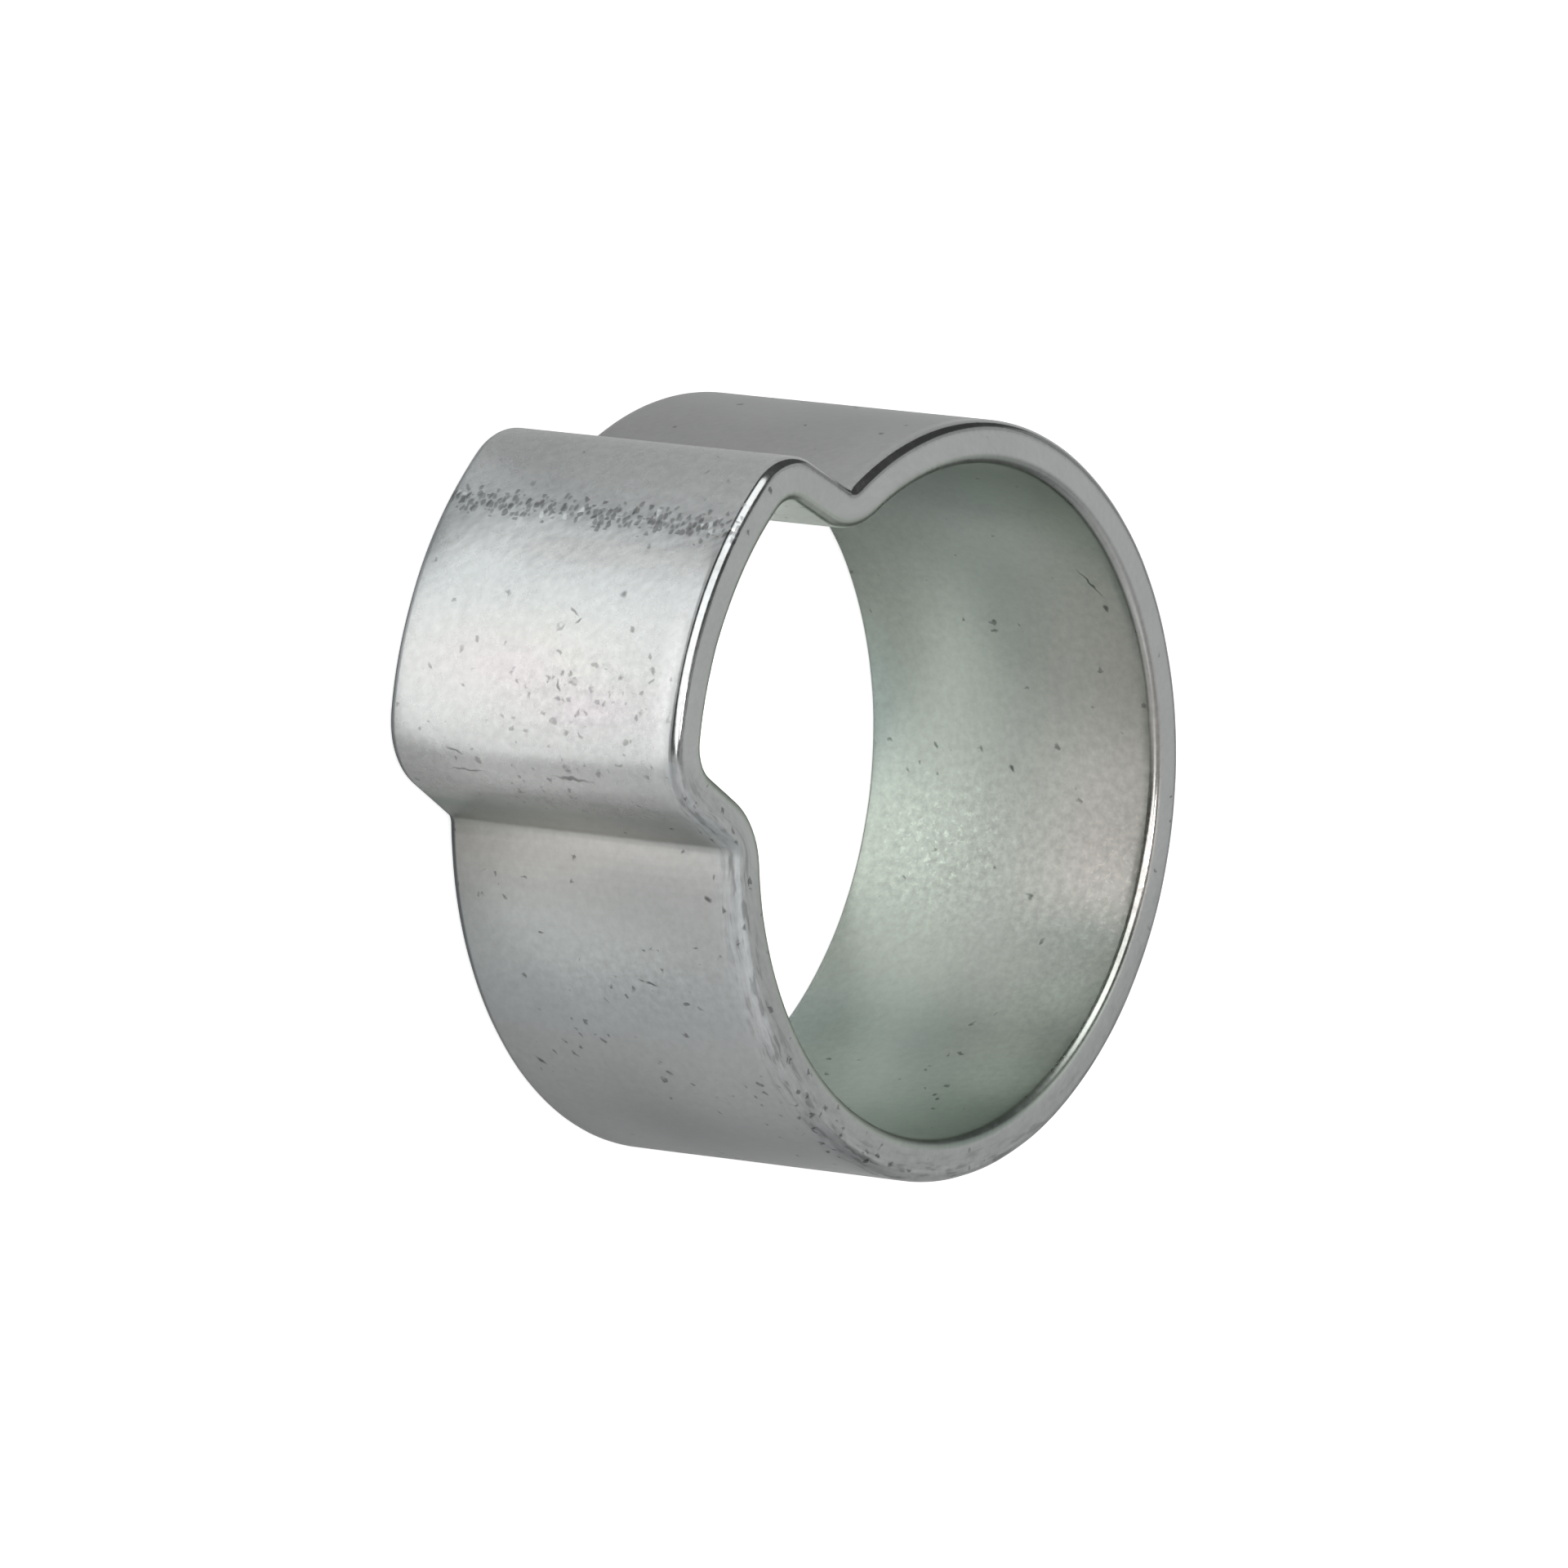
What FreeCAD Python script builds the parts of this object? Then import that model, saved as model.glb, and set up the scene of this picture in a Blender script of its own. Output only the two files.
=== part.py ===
"""Single ear hose clamp: one closed ring of steel band with one pressed ear, open, before it is crimped."""
import FreeCAD, Part
import math
import os

# Driving dimensions, in millimetres and degrees
band_width = 8.0
wall = 1.0
bore_radius = 7.6
ear_half_width = 4.4
ear_rise = 2.7
ear_side_lean = 3.0
crown_radius = 8.6
ear_corner_radius = 1.85
fold_radius_outside = 0.25
fold_radius_inside = 2.0
rim_round_outside = 0.25
rim_round_inside = 0.2

# The clamp lies on one rim at z = 0, with its bore along +Z and its ear towards +Y
bore_axis = FreeCAD.Vector(0, 0, 0)
up = FreeCAD.Vector(0, 0, 1)
ring_radius = bore_radius + wall
ear_top = ring_radius + ear_rise
crown_centre = FreeCAD.Vector(0, ear_top - crown_radius, 0)

# The ear's right side: it starts on the ring's outside and leans towards the ear's middle as it rises
lean = math.radians(ear_side_lean)
side_foot = FreeCAD.Vector(ear_half_width, math.sqrt(ring_radius ** 2 - ear_half_width ** 2), 0)
side_up = FreeCAD.Vector(-math.sin(lean), math.cos(lean), 0)
side_out = FreeCAD.Vector(math.cos(lean), math.sin(lean), 0)


def line_meets_circle(start, direction, centre, radius):
    """Return the point farthest along the line at which it crosses the circle."""
    offset = start - centre
    along = offset.dot(direction)
    reach = math.sqrt(along ** 2 - offset.dot(offset) + radius ** 2)
    return start + direction * (reach - along)


def unit(vector):
    return vector * (1 / vector.Length)


def mirrored(point):
    """Return the matching point on the ear's left side."""
    return FreeCAD.Vector(-point.x, point.y, point.z)


def bend(start, centre, end):
    """Return the short arc from start to end about centre."""
    radius = (start - centre).Length
    middle = centre + unit((start - centre) + (end - centre)) * radius
    return Part.Arc(start, middle, end).toShape()


def band_outline(inset, fold_radius):
    """Return the closed outline of the ring and its ear, inset from the outside of the band."""
    ring = ring_radius - inset
    crown = crown_radius - inset
    corner = ear_corner_radius - inset

    corner_centre = line_meets_circle(
        side_foot - side_out * (inset + corner), side_up, crown_centre, crown - corner)
    crown_end = crown_centre + unit(corner_centre - crown_centre) * crown
    side_top = corner_centre + side_out * corner

    fold_centre = line_meets_circle(
        side_foot + side_out * (fold_radius - inset), side_up, bore_axis, ring + fold_radius)
    side_bottom = fold_centre - side_out * fold_radius
    ring_start = unit(fold_centre) * ring

    crown_top = crown_centre + FreeCAD.Vector(0, crown, 0)
    ring_bottom = FreeCAD.Vector(0, -ring, 0)
    edges = [
        Part.Arc(mirrored(crown_end), crown_top, crown_end).toShape(),
        bend(crown_end, corner_centre, side_top),
        Part.LineSegment(side_top, side_bottom).toShape(),
        bend(side_bottom, fold_centre, ring_start),
        Part.Arc(ring_start, ring_bottom, mirrored(ring_start)).toShape(),
        bend(mirrored(ring_start), mirrored(fold_centre), mirrored(side_bottom)),
        Part.LineSegment(mirrored(side_bottom), mirrored(side_top)).toShape(),
        bend(mirrored(side_top), mirrored(corner_centre), mirrored(crown_end)),
    ]
    return Part.Wire(edges)


def rim_edges(solid, outline):
    """Return the solid's edges that follow the outline on either rim."""
    top_outline = outline.translated(up * band_width)
    found = []
    for edge in solid.Edges:
        middle = Part.Vertex(edge.valueAt((edge.FirstParameter + edge.LastParameter) / 2))
        ends = [Part.Vertex(vertex.Point) for vertex in edge.Vertexes]
        for rim in (outline, top_outline):
            if all(rim.distToShape(point)[0] < 0.001 for point in [middle] + ends):
                found.append(edge)
    return found


def clamp_band():
    """Return the band: its section drawn through on both sides, with its four rim edges rounded."""
    outside = band_outline(0, fold_radius_outside)
    inside = band_outline(wall, fold_radius_inside)
    section = Part.makeFace([outside, inside], "Part::FaceMakerBullseye")
    solid = section.extrude(up * band_width)
    solid = solid.makeFillet(rim_round_outside, rim_edges(solid, outside))
    solid = solid.makeFillet(rim_round_inside, rim_edges(solid, inside))
    return solid


def main():
    os.makedirs("parts", exist_ok=True)
    band = clamp_band()
    band.exportStep("parts/clamp_band.step")
    print("clamp_band valid", band.isValid(), "solids", len(band.Solids), "volume", round(band.Volume, 3))


main()
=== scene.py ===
import math

import bpy
import numpy as np
from mathutils import Matrix, Vector, noise


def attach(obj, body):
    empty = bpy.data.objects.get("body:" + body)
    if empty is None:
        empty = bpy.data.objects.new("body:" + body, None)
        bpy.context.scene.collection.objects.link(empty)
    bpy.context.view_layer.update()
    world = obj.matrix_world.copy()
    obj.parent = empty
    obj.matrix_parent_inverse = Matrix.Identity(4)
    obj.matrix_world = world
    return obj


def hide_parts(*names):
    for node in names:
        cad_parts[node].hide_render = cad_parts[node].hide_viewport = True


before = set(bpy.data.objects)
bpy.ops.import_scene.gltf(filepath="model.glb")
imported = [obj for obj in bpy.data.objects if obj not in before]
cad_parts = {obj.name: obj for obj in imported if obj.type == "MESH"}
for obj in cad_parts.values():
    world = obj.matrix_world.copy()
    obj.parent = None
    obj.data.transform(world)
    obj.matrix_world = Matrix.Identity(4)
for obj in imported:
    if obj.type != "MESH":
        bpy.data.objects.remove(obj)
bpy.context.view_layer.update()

# Units, in metres
MM = 0.001
MICRON = 0.000001

# Band sizes, in millimetres, as the solid has them
BAND_WIDTH = 8.0
WALL = 1.0
RING_RADIUS = 8.6
EAR_HALF_WIDTH = 4.4
EAR_RISE = 2.7
SIDE_LEAN = math.radians(3.0)
CROWN_RADIUS = 8.6
CORNER_RADIUS = 1.85
FOLD_RADIUS_OUTSIDE = 0.25
FOLD_RADIUS_INSIDE = 2.0
RIM_ROUND_OUTSIDE = 0.25
RIM_ROUND_INSIDE = 0.2

# Mesh density: steps along each stretch of the half outline and across the band's section
RING_STEPS = 216
FOLD_STEPS = 10
SIDE_STEPS = 14
CORNER_STEPS = 26
CROWN_STEPS = 32
WALL_STEPS = 38
ROUND_STEPS = 7
FLAT_STEPS = 8

# Unevenness that pressing and tumbling leave in the surface, in millimetres
WAVE_DEPTH = 0.010
WAVE_LENGTH = 2.6
WAVE_SEED = 3.0
RIM_WOBBLE_DEPTH = 0.015
RIM_WOBBLE_LENGTH = 1.3
RIM_WOBBLE_SEED = 11.0
RIM_WOBBLE_SHARPNESS = 3

# Finding a place on the wall: degrees that count as one millimetre, and what the wrong side counts
DEGREES_PER_MM = 7.0
OTHER_SIDE_MISS = 100.0


# The outline of the band

def arc(centre, radius, start, end, steps, bulge=1.0):
    """Points of an arc without its last one, and the normals that point away from the metal."""
    turn = start + (end - start) * np.arange(steps) / steps
    way = np.stack([np.cos(turn), np.sin(turn)], axis=1)
    return np.array(centre) + radius * way, bulge * way


def angle_from(centre, point):
    return math.atan2(point[1] - centre[1], point[0] - centre[0])


def line_meets_circle(start, way, centre, radius, upper):
    """The point where a line meets a circle, the upper or the lower of the two."""
    offset = start - centre
    along = -float(np.dot(offset, way))
    reach = math.sqrt(along**2 - float(np.dot(offset, offset)) + radius**2)
    return start + way * (along + (reach if upper else -reach))


def half_outline(inset, fold_radius):
    """Right half of the outline, from the bottom of the ring up to the middle of the ear."""
    origin = np.zeros(2)
    crown_centre = np.array([0.0, EAR_RISE])
    side_up = np.array([-math.sin(SIDE_LEAN), math.cos(SIDE_LEAN)])
    side_out = np.array([math.cos(SIDE_LEAN), math.sin(SIDE_LEAN)])
    foot = np.array([EAR_HALF_WIDTH, math.sqrt(RING_RADIUS**2 - EAR_HALF_WIDTH**2)])
    corner = line_meets_circle(
        foot - side_out * CORNER_RADIUS, side_up, crown_centre, CROWN_RADIUS - CORNER_RADIUS, True
    )
    fold = line_meets_circle(
        foot + side_out * (fold_radius - inset), side_up, origin, RING_RADIUS - inset + fold_radius, True
    )
    ring_end = angle_from(origin, fold)
    crown_start = angle_from(crown_centre, corner)
    side_bottom = fold - side_out * fold_radius
    side_top = corner + side_out * (CORNER_RADIUS - inset)
    share = np.arange(SIDE_STEPS)[:, None] / SIDE_STEPS
    side = side_bottom + (side_top - side_bottom) * share
    stretches = [
        arc(origin, RING_RADIUS - inset, -math.pi / 2, ring_end, RING_STEPS),
        arc(fold, fold_radius, ring_end + math.pi, math.pi + SIDE_LEAN, FOLD_STEPS, -1.0),
        (side, np.repeat(side_out[None, :], SIDE_STEPS, axis=0)),
        arc(corner, CORNER_RADIUS - inset, SIDE_LEAN, crown_start, CORNER_STEPS),
        arc(crown_centre, CROWN_RADIUS - inset, crown_start, math.pi / 2, CROWN_STEPS),
    ]
    points = np.concatenate([s[0] for s in stretches])
    normals = np.concatenate([s[1] for s in stretches])
    top = crown_centre + np.array([0.0, CROWN_RADIUS - inset])
    return np.vstack([points, top]), np.vstack([normals, [0.0, 1.0]])


def whole_outline(inset, fold_radius):
    """Closed outline: the right half, then its mirror image back down to the bottom."""
    points, normals = half_outline(inset, fold_radius)
    flip = np.array([-1.0, 1.0])
    return (
        np.vstack([points, points[-2:0:-1] * flip]),
        np.vstack([normals, normals[-2:0:-1] * flip]),
    )


# The band's mesh

def rounding(points, normals, radius, rising):
    """Loops over a rim rounding, each with its height above the rounding's start."""
    turn = np.arange(ROUND_STEPS) / ROUND_STEPS * math.pi / 2
    if not rising:
        turn = math.pi / 2 - turn
    return [(points - normals * radius * (1 - math.cos(t)), radius * math.sin(t)) for t in turn]


def section_loops():
    """Every loop round the band, in order round its section, with its height and its zone."""
    outer, outer_out = whole_outline(0.0, FOLD_RADIUS_OUTSIDE)
    inner, inner_in = whole_outline(WALL, FOLD_RADIUS_INSIDE)
    inner_out = -inner_in
    outer_edge = outer - outer_out * RIM_ROUND_OUTSIDE
    inner_edge = inner - inner_out * RIM_ROUND_INSIDE
    low_outer, high_outer = RIM_ROUND_OUTSIDE, BAND_WIDTH - RIM_ROUND_OUTSIDE
    low_inner, high_inner = RIM_ROUND_INSIDE, BAND_WIDTH - RIM_ROUND_INSIDE
    walls = np.arange(WALL_STEPS) / WALL_STEPS
    flats = np.arange(FLAT_STEPS) / FLAT_STEPS
    loops = []
    for s in walls:
        loops.append((outer, low_outer + (high_outer - low_outer) * s, "outside"))
    for loop, rise in rounding(outer, outer_out, RIM_ROUND_OUTSIDE, True):
        loops.append((loop, high_outer + rise, "outer rim"))
    for s in flats:
        loops.append((outer_edge + (inner_edge - outer_edge) * s, BAND_WIDTH, "face"))
    for loop, rise in rounding(inner, inner_out, RIM_ROUND_INSIDE, False):
        loops.append((loop, high_inner + rise, "inner rim"))
    for s in walls:
        loops.append((inner, high_inner + (low_inner - high_inner) * s, "inside"))
    for loop, rise in rounding(inner, inner_out, RIM_ROUND_INSIDE, True):
        loops.append((loop, low_inner - rise, "inner rim"))
    for s in flats:
        loops.append((inner_edge + (outer_edge - inner_edge) * s, 0.0, "face"))
    for loop, rise in rounding(outer, outer_out, RIM_ROUND_OUTSIDE, False):
        loops.append((loop, low_outer - rise, "outer rim"))
    return loops


def grid_faces(rings, stations):
    """Quads between neighbouring loops and stations, closed both ways."""
    ring, station = np.meshgrid(np.arange(rings), np.arange(stations), indexing="ij")
    next_ring, next_station = (ring + 1) % rings, (station + 1) % stations
    corners = [
        ring * stations + station,
        ring * stations + next_station,
        next_ring * stations + next_station,
        next_ring * stations + station,
    ]
    return np.stack([c.ravel() for c in corners], axis=1)


def wavy(point, length, seed):
    """Smooth noise from 0 to 1 at a point, with waves of about that length."""
    return 0.5 + 0.5 * noise.noise(Vector(point) / length + Vector((seed, 0.0, 0.0)))


def vertex_normals(points, faces):
    """Normals of the grid's vertices, from its faces."""
    a, b, c, d = (points[faces[:, k]] for k in range(4))
    facing = np.cross(c - a, d - b)
    normals = np.zeros_like(points)
    for k in range(4):
        np.add.at(normals, faces[:, k], facing)
    return normals / np.linalg.norm(normals, axis=1)[:, None]


def dent(points, faces, zones):
    """Presses the surface in a little, never out: long waves all over and an uneven rim."""
    normals = vertex_normals(points, faces)
    rim = np.isin(zones, ["outer rim", "inner rim"])
    deep = np.array([WAVE_DEPTH * wavy(p, WAVE_LENGTH, WAVE_SEED) for p in points])
    wobble = np.array([wavy(p, RIM_WOBBLE_LENGTH, RIM_WOBBLE_SEED) ** RIM_WOBBLE_SHARPNESS for p in points])
    deep += rim * RIM_WOBBLE_DEPTH * wobble
    return points - normals * deep[:, None]


def band_mesh():
    """The whole band as one closed smooth mesh in metres, with what its material reads."""
    loops = section_loops()
    stations = len(loops[0][0])
    points = np.concatenate(
        [np.column_stack([loop, np.full(stations, height)]) for loop, height, _ in loops]
    )
    zones = np.repeat([zone for _, _, zone in loops], stations)
    faces = grid_faces(len(loops), stations)
    pressed = dent(points, faces, zones)
    mesh = bpy.data.meshes.new("band")
    mesh.from_pydata((pressed * MM).tolist(), [], faces.tolist())
    mesh.update()
    mesh.polygons.foreach_set("use_smooth", [True] * len(mesh.polygons))
    along, across = store_wall_coordinates(mesh, points, len(loops), stations)
    paint_band(mesh, points, zones, across)
    return mesh, WallMap(points, zones, along, across)


def paint(mesh, name, values):
    """Stores one number a vertex, for the material to read."""
    layer = mesh.attributes.new(name, "FLOAT", "POINT")
    layer.data.foreach_set("value", np.asarray(values, np.float32))


def run_lengths(line):
    """Distance along a closed line at each of its points, and once more at its end."""
    steps = np.linalg.norm(np.diff(np.vstack([line, line[:1]]), axis=0), axis=1)
    return np.concatenate([[0.0], np.cumsum(steps)])


def store_wall_coordinates(mesh, points, rings, stations):
    """Millimetres along the outline and across the section, stored at face corners."""
    grid = points.reshape(rings, stations, 3)
    along = run_lengths(grid[0])
    across = run_lengths(grid[:, 0])
    ring, station = np.meshgrid(np.arange(rings), np.arange(stations), indexing="ij")
    ring, station = ring.ravel(), station.ravel()
    corners = [(ring, station), (ring, station + 1), (ring + 1, station + 1), (ring + 1, station)]
    values = np.stack(
        [np.column_stack([along[s], across[r], np.zeros(len(r))]) for r, s in corners], axis=1
    )
    layer = mesh.attributes.new("wall", "FLOAT_VECTOR", "CORNER")
    layer.data.foreach_set("vector", values.astype(np.float32).ravel())
    return np.tile(along[:-1], rings), np.repeat(across[:-1], stations)


class WallMap:
    """Finds where a bearing and a height lie in wall coordinates."""

    def __init__(self, points, zones, along, across):
        self.angle = bearing(points)
        self.height = points[:, 2]
        self.zones = zones
        self.along = along
        self.across = across

    def place(self, side, angle, height):
        turn = turn_from(angle, self.angle)
        other_side = self.zones != side
        miss = (turn / DEGREES_PER_MM) ** 2 + (self.height - height) ** 2 + OTHER_SIDE_MISS * other_side
        nearest = int(np.argmin(miss))
        return float(self.along[nearest]), float(self.across[nearest])


# Tints of the plating, and the greys and light colours that paint shade and light into it

ZINC = np.array([0.570, 0.585, 0.582])
INNER_ZINC = np.array([0.541, 0.588, 0.536])
WARM = np.array([0.615, 0.590, 0.555])
PINK = np.array([0.66, 0.595, 0.635])
BLUE = np.array([0.50, 0.57, 0.60])
GREEN = np.array([0.50, 0.57, 0.53])
CREAM = np.array([0.68, 0.67, 0.61])
SCUFFED = np.array([0.65, 0.69, 0.71])
# From here on painted shade and painted light: the greys and the darkest tints paint shade, the dark teal
# and moss ones paint shade with a faint tint, and the bright, pale and white ones paint light and highlights
PAINTED_SHADE = np.array([0.430, 0.437, 0.434])
PAINTED_LIGHT = np.array([0.72, 0.79, 0.71])
TEAL_SHADE = np.array([0.27, 0.30, 0.285])
MOSS_SHADE = np.array([0.36, 0.42, 0.38])
PAINTED_FOLD_SHADE = np.array([0.22, 0.285, 0.258])
SHADED = np.array([0.20, 0.22, 0.23])
PAINTED_PALE_LIGHT = np.array([0.76, 0.87, 0.84])
GLARE = np.array([0.80, 0.80, 0.80])

# Tints drift a little over the band
DRIFT_LENGTH = 3.1
DRIFT_SEED = 21.0
DRIFT_LEAST = 0.6
DRIFT_SPAN = 0.8

# Where the named sides of the band begin, in millimetres and degrees
EAR_FROM_Y = 8.0
FOLD_FROM_Y = 7.0
FOLD_TO_X = -3.6
WORN_FROM_ANGLE = 109.0

# Soft patches of tint, painted shade and painted light, laid in this order: colour, strength, side, then the
# bearing in degrees and the height in millimetres of the middle, and how far the patch reaches in degrees
# and in millimetres
TINT_LIGHT_AND_SHADE_PATCHES = [
    # The ear: its tints, with painted shade on its far upper part and sides, and a painted highlight and
    # painted dark reflection line on its near outer rounding
    (BLUE, 0.5, "outside", 88.0, 3.0, 9.0, 6.0),
    # Painted shade on the upper, far part of the ear
    (PAINTED_SHADE, 0.85, "outside", 85.5, 4.0, 3.0, 9.0),
    (SHADED, 0.55, "ear", 82.0, 0.5, 7.0, 2.4),
    (PAINTED_SHADE, 0.2, "outside", 95.0, 1.2, 12.0, 2.6),
    (CREAM, 0.4, "outside", 98.0, 4.0, 9.0, 4.0),
    (PINK, 0.35, "outside", 100.0, 3.0, 3.5, 1.8),
    (PINK, 0.4, "outside", 104.0, 5.5, 2.5, 1.6),
    # Painted shade on the ear's side and its lower bend
    (PAINTED_SHADE, 0.3, "ear", 71.0, 4.0, 6.0, 9.0),
    (PAINTED_SHADE, 0.6, "outside", 111.0, 4.0, 2.5, 9.0),
    # A painted highlight, then a painted dark reflection line, along the near outer rounding
    (GLARE, 0.7, "outside", 101.0, 7.52, 9.0, 0.2),
    (SHADED, 0.8, "outside", 106.0, 7.80, 7.0, 0.05),
    # The fold under the ear: painted shade, for the shadow and dark reflection under the ear
    (PAINTED_FOLD_SHADE, 1.5, "fold", 119.0, 4.0, 2.6, 12.0),
    (SHADED, 0.65, "fold", 118.0, 7.0, 4.0, 2.4),
    (PAINTED_SHADE, 0.7, "fold", 114.0, 4.0, 1.6, 9.0),
    # The ring below the ear and its rims: tints, a scuffed rim, and painted shade and painted highlights
    (WARM, 0.9, "outside", 124.0, 4.0, 8.0, 6.0),
    # Painted shade
    (PAINTED_SHADE, 0.8, "outside", 129.0, 5.6, 9.0, 3.4),
    (GREEN, 0.25, "outside", 138.0, 2.5, 9.0, 5.0),
    (BLUE, 0.4, "outside", 150.0, 3.5, 9.0, 5.0),
    (SCUFFED, 0.9, "worn", 165.0, 8.0, 60.0, 0.5),
    # Painted highlights along the near outer rounding and on the rim face
    (GLARE, 0.6, "outside", 165.0, 7.9, 35.0, 0.35),
    (GLARE, 0.4, "rim face", 118.0, 8.0, 12.0, 1.0),
    # Painted shadow along the far rim where it meets the floor, and a painted dark line along the lower
    # outline
    (SHADED, 1.3, "far edge", 160.0, 0.0, 90.0, 0.6),
    (SHADED, 0.5, "outside", -160.3, 2.5, 6.5, 4.2),
    (PINK, 0.3, "outside", 178.0, 2.0, 12.0, 5.0),
    # Painted shade over the lower part of the band
    (PAINTED_SHADE, 0.6, "outside", 164.0, 4.5, 20.0, 9.0),
    (PAINTED_SHADE, 1.0, "outside", 186.0, 4.0, 20.0, 9.0),
    (SHADED, 0.5, "outside", 180.5, 5.0, 13.0, 6.0),
    # The ring beyond the ear: painted shade
    (PAINTED_SHADE, 1.0, "ring", 45.0, 4.0, 30.0, 9.0),
    (SHADED, 0.2, "ring", 29.0, 6.0, 16.0, 5.0),
    # The bore: faint tints, with painted light on its brighter parts and painted shade, partly tinted teal
    # or moss, on its darker parts
    # Painted light low in the bore
    (PAINTED_LIGHT, 0.85, "inside", -76.5, 1.0, 14.5, 2.2),
    (PAINTED_LIGHT, 0.35, "inside", -44.0, 0.6, 18.0, 2.0),
    # Painted shade, tinted moss and teal
    (MOSS_SHADE, 0.95, "inside", -36.0, 4.6, 22.0, 1.9),
    (TEAL_SHADE, 0.45, "inside", -27.0, 4.4, 9.0, 2.0),
    (TEAL_SHADE, 1.1, "inside", 2.0, 5.0, 24.0, 9.0),
    # Tints
    (WARM, 1.0, "inside", -78.0, 7.4, 30.0, 2.6),
    (WARM, 1.0, "inside", -46.0, 7.8, 26.0, 2.6),
    (BLUE, 0.5, "inside", -116.0, 1.0, 10.0, 2.5),
    # Painted shade (the moss and teal ones) and painted light (the bright and pale ones)
    (MOSS_SHADE, 1.1, "inside", -141.0, 5.0, 26.0, 9.0),
    (PAINTED_LIGHT, 0.85, "inside", -104.0, 6.8, 7.0, 1.5),
    (MOSS_SHADE, 0.55, "inside", -91.5, 6.8, 6.0, 1.6),
    (MOSS_SHADE, 0.9, "inside", -116.0, 2.4, 9.0, 2.0),
    (PAINTED_LIGHT, 0.9, "inside", -121.0, 6.9, 10.0, 1.2),
    (TEAL_SHADE, 0.45, "inside", -119.0, 4.0, 12.0, 1.1),
    (TEAL_SHADE, 0.2, "inside", -138.0, 5.8, 9.0, 1.6),
    (PAINTED_PALE_LIGHT, 0.9, "inside", -54.0, 0.2, 12.0, 0.8),
    # Painted shade along the upper inner rim
    (PAINTED_SHADE, 1.0, "inside", -22.0, 8.1, 36.0, 0.35),
]


def bearing(points):
    """Angle of each point round the bore, from +X towards +Y, in degrees."""
    return np.degrees(np.arctan2(points[:, 1], points[:, 0]))


def turn_from(at_angle, angle):
    """Signed turn from one bearing to others, the short way round."""
    return (angle - at_angle + 180.0) % 360.0 - 180.0


def near(angle, height, at_angle, at_height, angle_reach, height_reach):
    """1 at a place on the wall, fading to 0 over the given reaches."""
    turn = turn_from(at_angle, angle)
    return np.exp(-((turn / angle_reach) ** 2) - ((height - at_height) / height_reach) ** 2)


def band_sides(points, zones):
    """1 on each named side of the band and 0 elsewhere."""
    x, y, height = points.T
    outside = np.isin(zones, ["outside", "outer rim"]).astype(float)
    inside = np.isin(zones, ["inside", "inner rim"]).astype(float)
    return {
        "outside": outside,
        "inside": inside,
        "all but inside": 1.0 - inside,
        "rim face": 1.0 - outside - inside,
        "rounded": np.isin(zones, ["outer rim", "inner rim"]).astype(float),
        "far edge": (zones == "outer rim") * (height < BAND_WIDTH / 2),
        "ear": outside * (y > EAR_FROM_Y),
        "ear top": outside * (y > RING_RADIUS),
        "ring": outside * (y < EAR_FROM_Y),
        "fold": outside * (y > FOLD_FROM_Y) * (x < FOLD_TO_X),
        "worn": outside * (bearing(points) > WORN_FROM_ANGLE),
    }


def blend_to(tint_light_and_shade, colour, weight):
    return tint_light_and_shade + (colour - tint_light_and_shade) * weight[:, None]


def band_tints_light_and_shade(points, sides):
    """Faint interference colours of the plating, with painted shade and painted light laid in, one colour a
    vertex.
    """
    angle, height = bearing(points), points[:, 2]
    waves = np.array([wavy(p, DRIFT_LENGTH, DRIFT_SEED) for p in points])
    drift = DRIFT_LEAST + DRIFT_SPAN * waves
    tint_light_and_shade = blend_to(ZINC, INNER_ZINC, sides["inside"])
    for colour, strength, side, *place in TINT_LIGHT_AND_SHADE_PATCHES:
        weight = strength * sides[side] * near(angle, height, *place) * drift
        tint_light_and_shade = blend_to(tint_light_and_shade, colour, np.clip(weight, 0.0, 1.0))
    return tint_light_and_shade


# Grain, pits, scuffs, shine and painted glints

# The rough row along the ear's upper bend: its x and reach at the far rim, and how they change with height
BEND_X = 1.85
BEND_X_SLOPE = -0.013
BEND_REACH = 0.30
BEND_REACH_SLOPE = 0.018
PEEL_STRENGTH = 0.96

# The slanted grain beside that row
SLANT_BASE = 0.3
SLANT_OFFSET = 0.8

GRAIN_BASE = 0.20
EAR_GRAIN = 0.06
INSIDE_GRAIN = 0.06
PITTING_BASE = 0.012

# More grain and more pits: strength, side and places (bearing, height and both reaches, as in the tints)
GRAINY = [
    (0.30, "outside", [(103.0, 5.6, 5.0, 2.4), (143.0, 4.6, 6.0, 2.6)]),
    (0.50, "inside", [(-80.0, 6.8, 20.0, 2.0), (-79.0, 2.6, 14.0, 2.6)]),
]
# Painted glints: bright flecks laid into the colour of the bore
GLINTING = [
    (1.0, "inside", [(-82.0, 7.3, 13.0, 1.2), (-78.0, 2.4, 11.0, 1.8)]),
]
PITTED = [
    (0.22, "outside", [
        (102.0, 5.5, 4.0, 2.0), (112.0, 4.5, 2.5, 2.5), (143.0, 5.2, 4.0, 1.3), (131.0, 1.6, 3.0, 1.0),
        (155.0, 2.6, 4.0, 1.2), (165.0, 6.0, 3.0, 1.6),
    ]),
    (0.11, "outside", [(101.0, 4.4, 6.0, 3.6)]),
    (0.12, "outside", [
        (-100.0, 3.0, 14.0, 2.2), (-45.0, 5.2, 11.0, 1.8), (12.0, 3.4, 9.0, 2.0), (-148.0, 5.0, 8.0, 1.8),
        (-72.0, 6.6, 8.0, 1.0), (-14.0, 1.6, 7.0, 1.2),
    ]),
    (0.20, "all but inside", [(178.0, 7.9, 16.0, 0.9)]),
]

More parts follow.
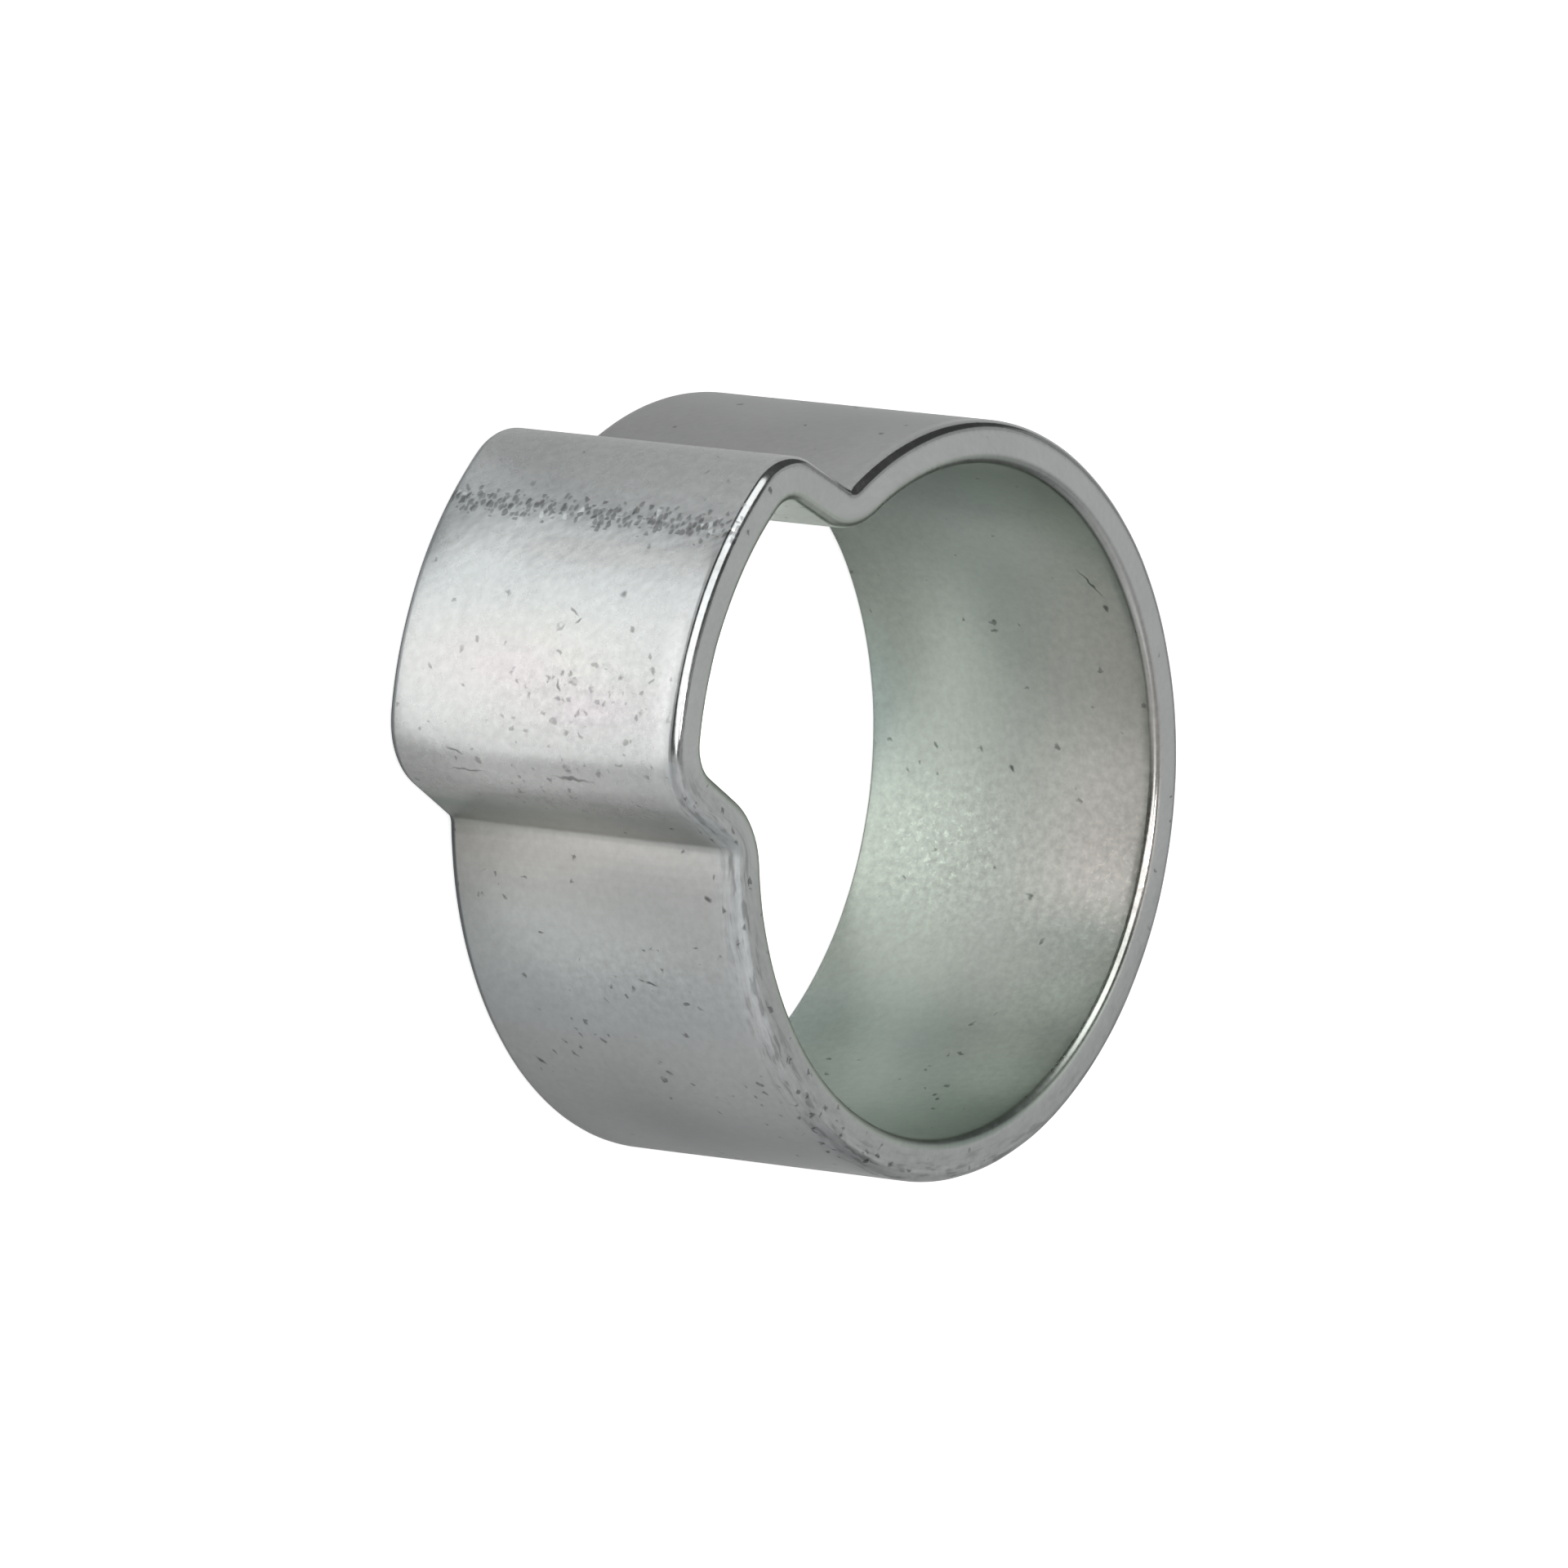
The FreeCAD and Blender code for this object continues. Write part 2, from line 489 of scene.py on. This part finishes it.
# Drawing lines under the ear
DRAWN_BASE = 0.4
DRAWN_EXTRA = 1.6
DRAWN_PLACE = (124.0, 4.0, 8.0, 9.0)

# Bearings from which the rim is rubbed, and over which that comes in
WORN_START, WORN_FADE = 108.0, 5.0
HIDDEN_WORN_START, HIDDEN_WORN_FADE = 70.0, 80.0

# The scuffed strip beside the near outer rounding, in millimetres across the section
SCUFF_OFFSET = 0.10
SCUFF_REACH = 0.44

# The inner rounding is less shiny from this bearing on
SATIN_START, SATIN_FADE = -68.0, 8.0
SATIN_SHARE = 0.8
EAR_POLISH = 0.35


def bell(distance):
    """1 at distance 0, falling to 0 on both sides."""
    return np.exp(-(distance**2))


def fade_in(value, start, length):
    """0 up to the start, then rising to 1 over a length."""
    return np.clip((value - start) / length, 0.0, 1.0)


def add_spots(level, points, sides, rows):
    """Adds soft spots to a level; each row has a strength, a side and the spots' places."""
    angle, height = bearing(points), points[:, 2]
    for strength, side, places in rows:
        level = level + strength * (sides[side] * sum(near(angle, height, *p) for p in places))
    return level


def paint_bend(mesh, points, ear):
    """The rough row along the ear's upper bend, and the slanted grain beside it."""
    x, height = points[:, 0], points[:, 2]
    off_line = x - (BEND_X + BEND_X_SLOPE * height)
    paint(mesh, "peel", PEEL_STRENGTH * ear * bell(off_line / (BEND_REACH + BEND_REACH_SLOPE * height)))
    paint(mesh, "diagonal", SLANT_BASE + ear * bell(off_line + SLANT_OFFSET))


def paint_rims(mesh, points, zones, across, sides):
    """Where the rims are scuffed, and where their roundings shine."""
    angle, height = bearing(points), points[:, 2]
    worn = fade_in(angle, WORN_START, WORN_FADE) + fade_in(-angle, HIDDEN_WORN_START, HIDDEN_WORN_FADE)
    rim_middle = across[(zones == "outer rim") & (height > BAND_WIDTH / 2)].mean()
    paint(mesh, "scuff", bell((across - rim_middle - SCUFF_OFFSET) / SCUFF_REACH) * worn)
    satin = sides["inside"] * fade_in(angle, SATIN_START, SATIN_FADE)
    shine = sides["rounded"] * (1.0 - np.clip(worn, 0.0, 1.0)) * (1.0 - SATIN_SHARE * satin)
    paint(mesh, "polish", np.maximum(shine, EAR_POLISH * sides["ear top"]))


def paint_band(mesh, points, zones, across):
    """Stores at each vertex the numbers that the material reads."""
    sides = band_sides(points, zones)
    tint_light_and_shade = band_tints_light_and_shade(points, sides)
    opaque = np.ones(len(tint_light_and_shade))
    # Stored colour: the plating's tints with painted shade and painted light
    layer = mesh.attributes.new("tint_light_and_shade", "FLOAT_COLOR", "POINT")
    layer.data.foreach_set("color", np.column_stack([tint_light_and_shade, opaque]).astype(np.float32).ravel())
    grain = GRAIN_BASE + EAR_GRAIN * sides["ear top"] + INSIDE_GRAIN * sides["inside"]
    drawn = near(bearing(points), points[:, 2], *DRAWN_PLACE)
    paint_bend(mesh, points, sides["ear top"])
    paint(mesh, "grain", add_spots(grain, points, sides, GRAINY))
    paint(mesh, "sparkle", add_spots(0.0, points, sides, GLINTING))
    paint(mesh, "pitting", add_spots(PITTING_BASE, points, sides, PITTED))
    paint(mesh, "drawn", sides["outside"] * (DRAWN_BASE + DRAWN_EXTRA * drawn))
    paint_rims(mesh, points, zones, across, sides)


# Materials

def new_material(name):
    material = bpy.data.materials.new(name)
    material.use_nodes = True
    material.node_tree.nodes.clear()
    return material


def plug(tree, socket, value):
    """Gives a socket a value, or links another node's socket to it."""
    if isinstance(value, bpy.types.NodeSocket):
        tree.links.new(value, socket)
    else:
        socket.default_value = value


def node(tree, kind, **inputs):
    """Adds a node; each input is a value or another node's socket."""
    made = tree.nodes.new(kind)
    for key, value in inputs.items():
        plug(tree, made.inputs[key.replace("_", " ")], value)
    return made


class Wiring:
    """Shorthand for building a material's nodes."""

    def __init__(self, material):
        self.tree = material.node_tree

    def put(self, socket, value):
        plug(self.tree, socket, value)

    def math(self, operation, *values):
        made = self.tree.nodes.new("ShaderNodeMath")
        made.operation = operation
        for socket, value in zip(made.inputs, values):
            self.put(socket, value)
        return made.outputs[0]

    def times(self, first, second):
        return self.math("MULTIPLY", first, second)

    def scaled(self, value, factor, offset):
        return self.math("MULTIPLY_ADD", value, factor, offset)

    def centred(self, value):
        """A noise from 0 to 1, shifted so that its middle is 0."""
        return self.math("SUBTRACT", value, 0.5)

    def total(self, first, *others):
        for other in others:
            first = self.math("ADD", first, other)
        return first

    def greatest(self, first, *others):
        for other in others:
            first = self.math("MAXIMUM", first, other)
        return first

    def stored(self, name):
        made = self.tree.nodes.new("ShaderNodeAttribute")
        made.attribute_name = name
        return made

    def level(self, name):
        return self.stored(name).outputs["Fac"]

    def ramp(self, value, low, high, to_low=0.0, to_high=1.0):
        made = node(
            self.tree, "ShaderNodeMapRange",
            Value=value, From_Min=low, From_Max=high, To_Min=to_low, To_Max=to_high,
        )
        made.interpolation_type = "SMOOTHSTEP"
        return made.outputs["Result"]

    def vector(self, operation, first, second):
        made = self.tree.nodes.new("ShaderNodeVectorMath")
        made.operation = operation
        self.put(made.inputs[0], first)
        self.put(made.inputs[1], second)
        return made.outputs[0]

    def turned(self, place, angle, stretch, centre=(0.0, 0.0)):
        """Wall coordinates seen from a centre, turned by an angle and stretched."""
        made = self.tree.nodes.new("ShaderNodeMapping")
        made.vector_type = "TEXTURE"
        self.put(made.inputs["Vector"], place)
        made.inputs["Location"].default_value = (*centre, 0.0)
        made.inputs["Rotation"].default_value = (0.0, 0.0, math.radians(angle))
        made.inputs["Scale"].default_value = (*stretch, 1.0)
        return made.outputs[0]

    def stretched(self, place, along, across):
        return self.vector("MULTIPLY", place, (along, across, 1.0))

    def noise(self, place, scale, detail=2.0, roughness=0.5):
        made = node(
            self.tree, "ShaderNodeTexNoise", Vector=place, Scale=scale, Detail=detail, Roughness=roughness
        )
        made.noise_dimensions = "2D"
        return made

    def clouds(self, place, scale, detail=2.0, roughness=0.5):
        return self.noise(place, scale, detail, roughness).outputs["Fac"]

    def cells(self, place, scale):
        """Cells of about one size: distance from the middle, and two random numbers a cell."""
        made = node(self.tree, "ShaderNodeTexVoronoi", Vector=place, Scale=scale)
        made.voronoi_dimensions = "2D"
        split = self.tree.nodes.new("ShaderNodeSeparateColor")
        self.tree.links.new(made.outputs["Color"], split.inputs[0])
        return made.outputs["Distance"], split.outputs[0], split.outputs[1]

    def wobbled(self, place, scale, reach):
        """The same place, shifted a little by noise, so that shapes get ragged edges."""
        colour = self.noise(place, scale, detail=0.0).outputs["Color"]
        middle = self.vector("SUBTRACT", colour, (0.5, 0.5, 0.5))
        shift = self.vector("MULTIPLY", middle, (reach, reach, reach))
        return self.vector("ADD", place, shift)


# Marks in the plating

# How softly pits, dots of the rough row and single marks end, in their own distances
PIT_EDGE = (-0.09, 0.13)
DOT_EDGE = (-0.16, 0.24)
MARK_EDGE = (1.45, 0.35)

# Of the rough row's cells, how many hold a dark or a light dot: change with the row's strength, and start
DARK_DOT_CHANCE = (1.25, -0.26)
LIGHT_DOT_CHANCE = (-0.10, 1.04)

# The larger marks that stand alone: side, bearing and then height, length and width in millimetres, and tilt
SINGLE_MARKS = [
    ("outside", 90.5, 5.80, 0.20, 0.18, 0.0),
    ("outside", 93.2, 4.62, 0.34, 0.055, 55.0),
    ("outside", 93.9, 4.75, 0.22, 0.055, -40.0),
    ("outside", 101.5, 4.60, 0.30, 0.06, 20.0),
    ("outside", 112.1, 5.05, 0.90, 0.10, 87.0),
    ("outside", 112.6, 2.00, 0.90, 0.055, 90.0),
    ("outside", 110.3, 1.90, 0.45, 0.05, 72.0),
    ("outside", 162.5, 1.06, 0.30, 0.11, 35.0),
    ("outside", 143.4, 5.20, 0.34, 0.08, 70.0),
    ("outside", 128.7, 7.23, 0.18, 0.11, 60.0),
    ("inside", -26.8, 6.95, 0.95, 0.07, 28.0),
    ("inside", -31.9, 7.15, 0.22, 0.15, 0.0),
    ("inside", -63.5, 3.92, 0.19, 0.09, 40.0),
    ("inside", -132.4, 5.82, 0.16, 0.11, 30.0),
    ("inside", -131.0, 5.50, 0.14, 0.09, -20.0),
]


def pits(w, place, scale, density, smallest, largest):
    """Scattered pits: 1 inside a pit, 0 outside; density is the share of cells that have one."""
    distance, chance, size = w.cells(place, scale)
    present = w.math("LESS_THAN", chance, density)
    radius = w.ramp(size, 0.0, 1.0, smallest, largest)
    return w.times(present, w.ramp(w.math("SUBTRACT", radius, distance), *PIT_EDGE))


def all_pits(w, wall, pitting, scuff):
    """Round pits, pits drawn out two ways, and pits of the scuffed rim."""
    ragged = w.wobbled(w.wobbled(wall, scale=5.0, reach=0.16), scale=17.0, reach=0.06)
    slanted = w.turned(ragged, 30.0, (1.35, 0.85))
    along = w.turned(ragged, -62.0, (1.5, 0.85))
    return [
        pits(w, ragged, scale=3.6, density=pitting, smallest=0.10, largest=0.27),
        pits(w, slanted, scale=3.6, density=w.times(pitting, 0.8), smallest=0.08, largest=0.20),
        pits(w, along, scale=3.1, density=w.times(pitting, 0.7), smallest=0.06, largest=0.17),
        pits(w, ragged, scale=2.7, density=w.times(scuff, 0.13), smallest=0.12, largest=0.26),
    ]


def peel_dots(w, wall, amount):
    """The rough row along the bend: closely set dark dots with a few light ones between them."""
    place = w.stretched(w.wobbled(wall, scale=6.0, reach=0.07), 0.72, 1.1)
    distance, chance, size = w.cells(place, 7.2)
    radius = w.ramp(size, 0.0, 1.0, 0.38, 0.62)
    dot = w.ramp(w.math("SUBTRACT", radius, distance), *DOT_EDGE)
    dark = w.math("LESS_THAN", chance, w.scaled(amount, *DARK_DOT_CHANCE))
    light = w.math("GREATER_THAN", chance, w.scaled(amount, *LIGHT_DOT_CHANCE))
    return w.times(w.times(dot, dark), w.scaled(size, 0.35, 0.65)), w.times(dot, light)


def stroke(w, wall, centre, length, width, tilt):
    """One short mark in wall coordinates: 1 on it, 0 away from it."""
    away = w.tree.nodes.new("ShaderNodeVectorMath")
    away.operation = "LENGTH"
    w.put(away.inputs[0], w.turned(wall, tilt, (length / 2, width / 2), centre))
    return w.ramp(away.outputs["Value"], *MARK_EDGE)


def single_marks(w, wall, wall_map):
    place = w.wobbled(wall, scale=6.0, reach=0.08)
    return w.greatest(*[
        stroke(w, place, wall_map.place(side, angle, height), length, width, tilt)
        for side, angle, height, length, width, tilt in SINGLE_MARKS
    ])


# Zinc plating

# How much each pattern or mark lightens the plating; below 0 it darkens
FINE_SHADE = 1.15
MOTTLE_SHADE = 0.10
DIAGONAL_SHADE = 0.24
DRAWN_SHADE = 0.07
MARK_SHADE = -0.46
MARK_SHADE_POLISHED = 0.4
DARK_DOT_SHADE = -0.50
LIGHT_DOT_SHADE = 0.36
PEEL_SHADE = -0.32
PEEL_DIAGONAL_SHADE = 0.5
SINGLE_MARK_SHADE = -0.16
RIM_DARK_SHADE = -0.28
RIM_LIGHT_SHADE = 0.13
# Painted glints
GLINT_SHADE = 0.34

# The same for how rough it is
ROUGHNESS = 0.34
MOTTLE_ROUGHNESS = 0.10
FINE_ROUGHNESS = 0.10
MARK_ROUGHNESS = 0.20
PEEL_ROUGHNESS = 0.05
SCUFF_ROUGHNESS = 0.34
POLISH_ROUGHNESS = -0.18

# Height of the grain and of the light dots, in microns
GRAIN_HEIGHT = 5.0
LIGHT_DOT_HEIGHT = 3.0


def patterns(w, wall):
    """The noises that the plating is made of, each from 0 to 1."""
    drawn_place = w.stretched(wall, 7.0, 0.22)
    slanted_place = w.turned(wall, -53.0, (2.4, 1.0))
    rim_place = w.stretched(w.wobbled(wall, scale=3.0, reach=0.05), 1.1, 7.0)
    return {
        "fine": w.clouds(wall, scale=4.6, detail=3.0, roughness=0.66),
        "mottle": w.clouds(wall, scale=0.9, detail=1.0),
        "drawn": w.clouds(drawn_place, scale=1.0, roughness=0.6),
        "diagonal": w.clouds(slanted_place, scale=6.2, detail=1.0),
        "rim lines": w.clouds(rim_place, scale=1.0, roughness=0.6),
        "glints": w.clouds(wall, scale=5.4, roughness=0.7),
    }


def plating_shade(w, levels, noises, marks, single, dots):
    """How light the plating is at each point, as a factor on its stored colour, painted glints in the bore
    included.
    """
    dark_dots, light_dots = dots
    rim_dark = w.times(w.ramp(noises["rim lines"], 0.46, 0.34), levels["scuff"])
    rim_light = w.times(w.ramp(noises["rim lines"], 0.44, 0.66), levels["scuff"])
    # Painted glints, bright flecks laid into the colour
    glints = w.times(w.ramp(noises["glints"], 0.55, 0.72), levels["sparkle"])
    drawing = w.times(w.centred(noises["drawn"]), DRAWN_SHADE)
    return w.total(
        w.scaled(w.times(w.centred(noises["fine"]), levels["grain"]), FINE_SHADE, 1.0),
        w.times(w.centred(noises["mottle"]), MOTTLE_SHADE),
        w.times(w.times(w.centred(noises["diagonal"]), levels["diagonal"]), DIAGONAL_SHADE),
        w.times(drawing, levels["drawn"]),
        w.times(marks, w.scaled(levels["polish"], MARK_SHADE_POLISHED, MARK_SHADE)),
        w.times(dark_dots, DARK_DOT_SHADE),
        w.times(levels["peel"], w.scaled(noises["diagonal"], PEEL_DIAGONAL_SHADE, PEEL_SHADE)),
        w.times(light_dots, LIGHT_DOT_SHADE),
        w.times(single, SINGLE_MARK_SHADE),
        w.times(rim_dark, RIM_DARK_SHADE),
        w.times(rim_light, RIM_LIGHT_SHADE),
        w.times(glints, GLINT_SHADE),
    )


def plating_roughness(w, levels, noises, marks):
    return w.total(
        w.scaled(w.centred(noises["mottle"]), MOTTLE_ROUGHNESS, ROUGHNESS),
        w.times(w.centred(noises["fine"]), FINE_ROUGHNESS),
        w.times(marks, MARK_ROUGHNESS),
        w.times(levels["peel"], PEEL_ROUGHNESS),
        w.times(levels["scuff"], SCUFF_ROUGHNESS),
        w.times(levels["polish"], POLISH_ROUGHNESS),
    )


def plating_relief(w, levels, noises, light_dots):
    """A bump of the grain and the light dots; returns the bent normal."""
    height = w.total(
        w.times(w.times(noises["fine"], levels["grain"]), GRAIN_HEIGHT),
        w.times(light_dots, LIGHT_DOT_HEIGHT),
    )
    return node(w.tree, "ShaderNodeBump", Strength=1.0, Distance=MICRON, Height=height).outputs["Normal"]


def zinc(wall_map):
    """Satin zinc plating on pressed steel."""
    material = new_material("zinc_plated_steel")
    w = Wiring(material)
    wall = w.stored("wall").outputs["Vector"]
    names = ["peel", "grain", "pitting", "scuff", "polish", "sparkle", "drawn", "diagonal"]
    levels = {name: w.level(name) for name in names}
    noises = patterns(w, wall)
    single = single_marks(w, wall, wall_map)
    marks = w.greatest(*all_pits(w, wall, levels["pitting"], levels["scuff"]), single)
    dots = peel_dots(w, wall, levels["peel"])
    tinted = w.tree.nodes.new("ShaderNodeVectorMath")
    tinted.operation = "SCALE"
    # The stored colour holds the tints and the painted shade and light
    w.put(tinted.inputs[0], w.stored("tint_light_and_shade").outputs["Color"])
    w.put(tinted.inputs["Scale"], plating_shade(w, levels, noises, marks, single, dots))
    surface = node(
        w.tree, "ShaderNodeBsdfPrincipled",
        Metallic=1.0,
        Base_Color=tinted.outputs[0],
        Roughness=plating_roughness(w, levels, noises, marks),
        Normal=plating_relief(w, levels, noises, dots[1]),
    )
    node(w.tree, "ShaderNodeOutputMaterial", Surface=surface.outputs["BSDF"])
    return material


# Floor and world

FLOOR_COLOUR = (0.8, 0.8, 0.8, 1.0)
FLOOR_RADIUS = 2.0
FLOOR_CAMERA_GLOW = 0.76
FLOOR_MIRROR_GLOW = 0.04
WORLD_COLOUR = (1.0, 1.0, 1.0, 1.0)
WORLD_GLOW = 0.05
WORLD_CAMERA_GLOW = 0.95
WORLD_MIRROR_GLOW = 0.03


def seen_glow(tree, to_camera, in_mirrors, to_all=0.0):
    """Glow that the camera sees, that metal and glass show, and that also lights the rest."""
    path = node(tree, "ShaderNodeLightPath")
    rays = {"Is Camera Ray": to_camera, "Is Glossy Ray": in_mirrors, "Is Transmission Ray": in_mirrors}
    total = to_all
    for ray, glow in rays.items():
        part = tree.nodes.new("ShaderNodeMath")
        part.operation = "MULTIPLY_ADD"
        for socket, value in zip(part.inputs, (path.outputs[ray], glow, total)):
            plug(tree, socket, value)
        total = part.outputs[0]
    return total


def floor_material():
    """Pale floor that shows white to the camera and keeps the shadow."""
    material = new_material("floor")
    tree = material.node_tree
    plain = node(tree, "ShaderNodeBsdfDiffuse", Color=FLOOR_COLOUR)
    glow = node(tree, "ShaderNodeEmission", Strength=seen_glow(tree, FLOOR_CAMERA_GLOW, FLOOR_MIRROR_GLOW))
    both = tree.nodes.new("ShaderNodeAddShader")
    plug(tree, both.inputs[0], plain.outputs[0])
    plug(tree, both.inputs[1], glow.outputs[0])
    node(tree, "ShaderNodeOutputMaterial", Surface=both.outputs[0])
    return material


def make_floor():
    mesh = bpy.data.meshes.new("floor")
    r = FLOOR_RADIUS
    mesh.from_pydata([(-r, -r, 0), (r, -r, 0), (r, r, 0), (-r, r, 0)], [], [(0, 1, 2, 3)])
    mesh.materials.append(floor_material())
    floor = bpy.data.objects.new("floor", mesh)
    bpy.context.scene.collection.objects.link(floor)


def make_world():
    world = bpy.data.worlds.new("studio")
    world.use_nodes = True
    tree = world.node_tree
    tree.nodes.clear()
    strength = seen_glow(tree, WORLD_CAMERA_GLOW, WORLD_MIRROR_GLOW, WORLD_GLOW)
    room = node(tree, "ShaderNodeBackground", Color=WORLD_COLOUR, Strength=strength)
    node(tree, "ShaderNodeOutputWorld", Surface=room.outputs[0])
    bpy.context.scene.world = world


# Lights

# Soft boxes round the band: name, azimuth and elevation in degrees, width and height in metres, and glow
SOFTBOX_DISTANCE = 0.4
SOFTBOXES = [
    ("key", 67, 50, 0.60, 0.45, 1.65),
    ("left", 165, 42, 0.42, 0.36, 0.42),
    ("left_low", 150, 10, 0.32, 0.20, 0.28),
    ("left_back", 212, 42, 0.34, 0.36, 0.34),
    ("left_back_low", 195, 10, 0.32, 0.20, 0.25),
    ("back_left", 250, 38, 0.20, 0.24, 0.24),
    ("back_left_low", 228, 10, 0.22, 0.20, 0.24),
    ("back_high", 235, 66, 0.40, 0.26, 0.29),
    ("back", 280, 38, 0.20, 0.20, 0.37),
    ("back_right", 305, 38, 0.20, 0.20, 0.41),
    ("back_low", 300, 10, 0.28, 0.16, 0.24),
]

# Pools of light on the floor beside and inside the band: name, x, y and radius in millimetres, glow, and how
# soft the edge is
POOL_LAMP_HEIGHT = 0.25
POOL_LAMP_SIZE = 0.0005
FLOOR_POOLS = [
    ("crown_pool", -4.0, 22.4, 12.0, 0.58, 0.15),
    ("crown_pool_near", 2.5, 12.8, 1.7, 0.30, 0.6),
    ("crown_pool_right", -0.4, 19.5, 3.6, 0.14, 0.6),
    ("foot_pool", -2.0, 13.8, 3.4, 0.12, 0.6),
    ("side_pool", -11.0, 10.0, 5.4, 0.22, 0.6),
    ("bore_pool_far", 2.3, 3.6, 2.0, 1.70, 0.6),
    ("bore_pool_left", -2.4, 2.2, 2.0, 0.92, 0.6),
    ("bore_pool_middle", 0.0, 0.3, 1.8, 0.30, 0.6),
    ("bore_pool_right", 2.5, 0.8, 1.8, 0.40, 0.6),
    ("bore_pool_near", 1.6, -2.8, 1.8, 0.32, 0.6),
    ("bore_pool_wall", 1.4, -6.0, 1.2, 0.32, 0.6),
]


def direction(azimuth, elevation):
    """Unit vector; azimuth turns from +X to +Y, in degrees."""
    a, e = math.radians(azimuth), math.radians(elevation)
    return Vector((math.cos(a) * math.cos(e), math.sin(a) * math.cos(e), math.sin(e)))


def place_lamp(name, lamp, location):
    """Puts a lamp in the scene, out of the camera's sight."""
    placed = bpy.data.objects.new(name, lamp)
    placed.location = location
    placed.visible_camera = False
    bpy.context.scene.collection.objects.link(placed)
    return placed


def softbox(name, azimuth, elevation, width, height, glow):
    """A rectangular area light that faces the band; glow is how bright its face is."""
    lamp = bpy.data.lights.new(name, "AREA")
    lamp.shape = "RECTANGLE"
    lamp.size = width
    lamp.size_y = height
    lamp.energy = glow * math.pi * width * height
    back = direction(azimuth, elevation)
    placed = place_lamp(name, lamp, back * SOFTBOX_DISTANCE + Vector((0.0, 0.0, BAND_WIDTH / 2 * MM)))
    placed.rotation_mode = "QUATERNION"
    placed.rotation_quaternion = (-back).to_track_quat("-Z", "Y")


def floor_pool(name, x, y, radius, glow, edge):
    """A spot from straight above that lights a round patch of floor."""
    lamp = bpy.data.lights.new(name, "SPOT")
    lamp.spot_size = 2 * math.atan(radius * MM / POOL_LAMP_HEIGHT)
    lamp.spot_blend = edge
    lamp.shadow_soft_size = POOL_LAMP_SIZE
    lamp.energy = glow * 4 * math.pi**2 * POOL_LAMP_HEIGHT**2 / FLOOR_COLOUR[0]
    place_lamp(name, lamp, (x * MM, y * MM, POOL_LAMP_HEIGHT))


# Camera

# The photograph's view: a long lens, rolled so that the ring stands up in the picture
VIEW_AZIMUTH = 109.67
VIEW_ELEVATION = 35.38
VIEW_ROLL = -96.513
VIEW_DISTANCE = 0.4613140
VIEW_AIM = (-0.00047665, 0.00118711, 0.00399004)
LENS = 471.048
SENSOR = 36.0
NEAREST_SEEN = 0.01
FARTHEST_SEEN = 10.0


def make_camera():
    lens = bpy.data.cameras.new("camera")
    lens.lens = LENS
    lens.sensor_width = SENSOR
    lens.clip_start = NEAREST_SEEN
    lens.clip_end = FARTHEST_SEEN
    camera = bpy.data.objects.new("camera", lens)
    back = direction(VIEW_AZIMUTH, VIEW_ELEVATION)
    level = Vector((0.0, 0.0, 1.0)).cross(back).normalized()
    upright = back.cross(level)
    roll = math.radians(VIEW_ROLL)
    up = upright * math.cos(roll) + level * math.sin(roll)
    right = up.cross(back)
    turn = Matrix((right, up, back)).transposed().to_4x4()
    camera.matrix_world = Matrix.Translation(Vector(VIEW_AIM) + back * VIEW_DISTANCE) @ turn
    bpy.context.scene.collection.objects.link(camera)
    bpy.context.scene.camera = camera


# The scene

mesh, wall_map = band_mesh()
mesh.materials.append(zinc(wall_map))
band = bpy.data.objects.new("band", mesh)
bpy.context.scene.collection.objects.link(band)
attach(band, "root")
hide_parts("clamp_band")
make_floor()
make_world()
for box in SOFTBOXES:
    softbox(*box)
for pool in FLOOR_POOLS:
    floor_pool(*pool)
make_camera()
bpy.context.scene.view_settings.view_transform = "Standard"
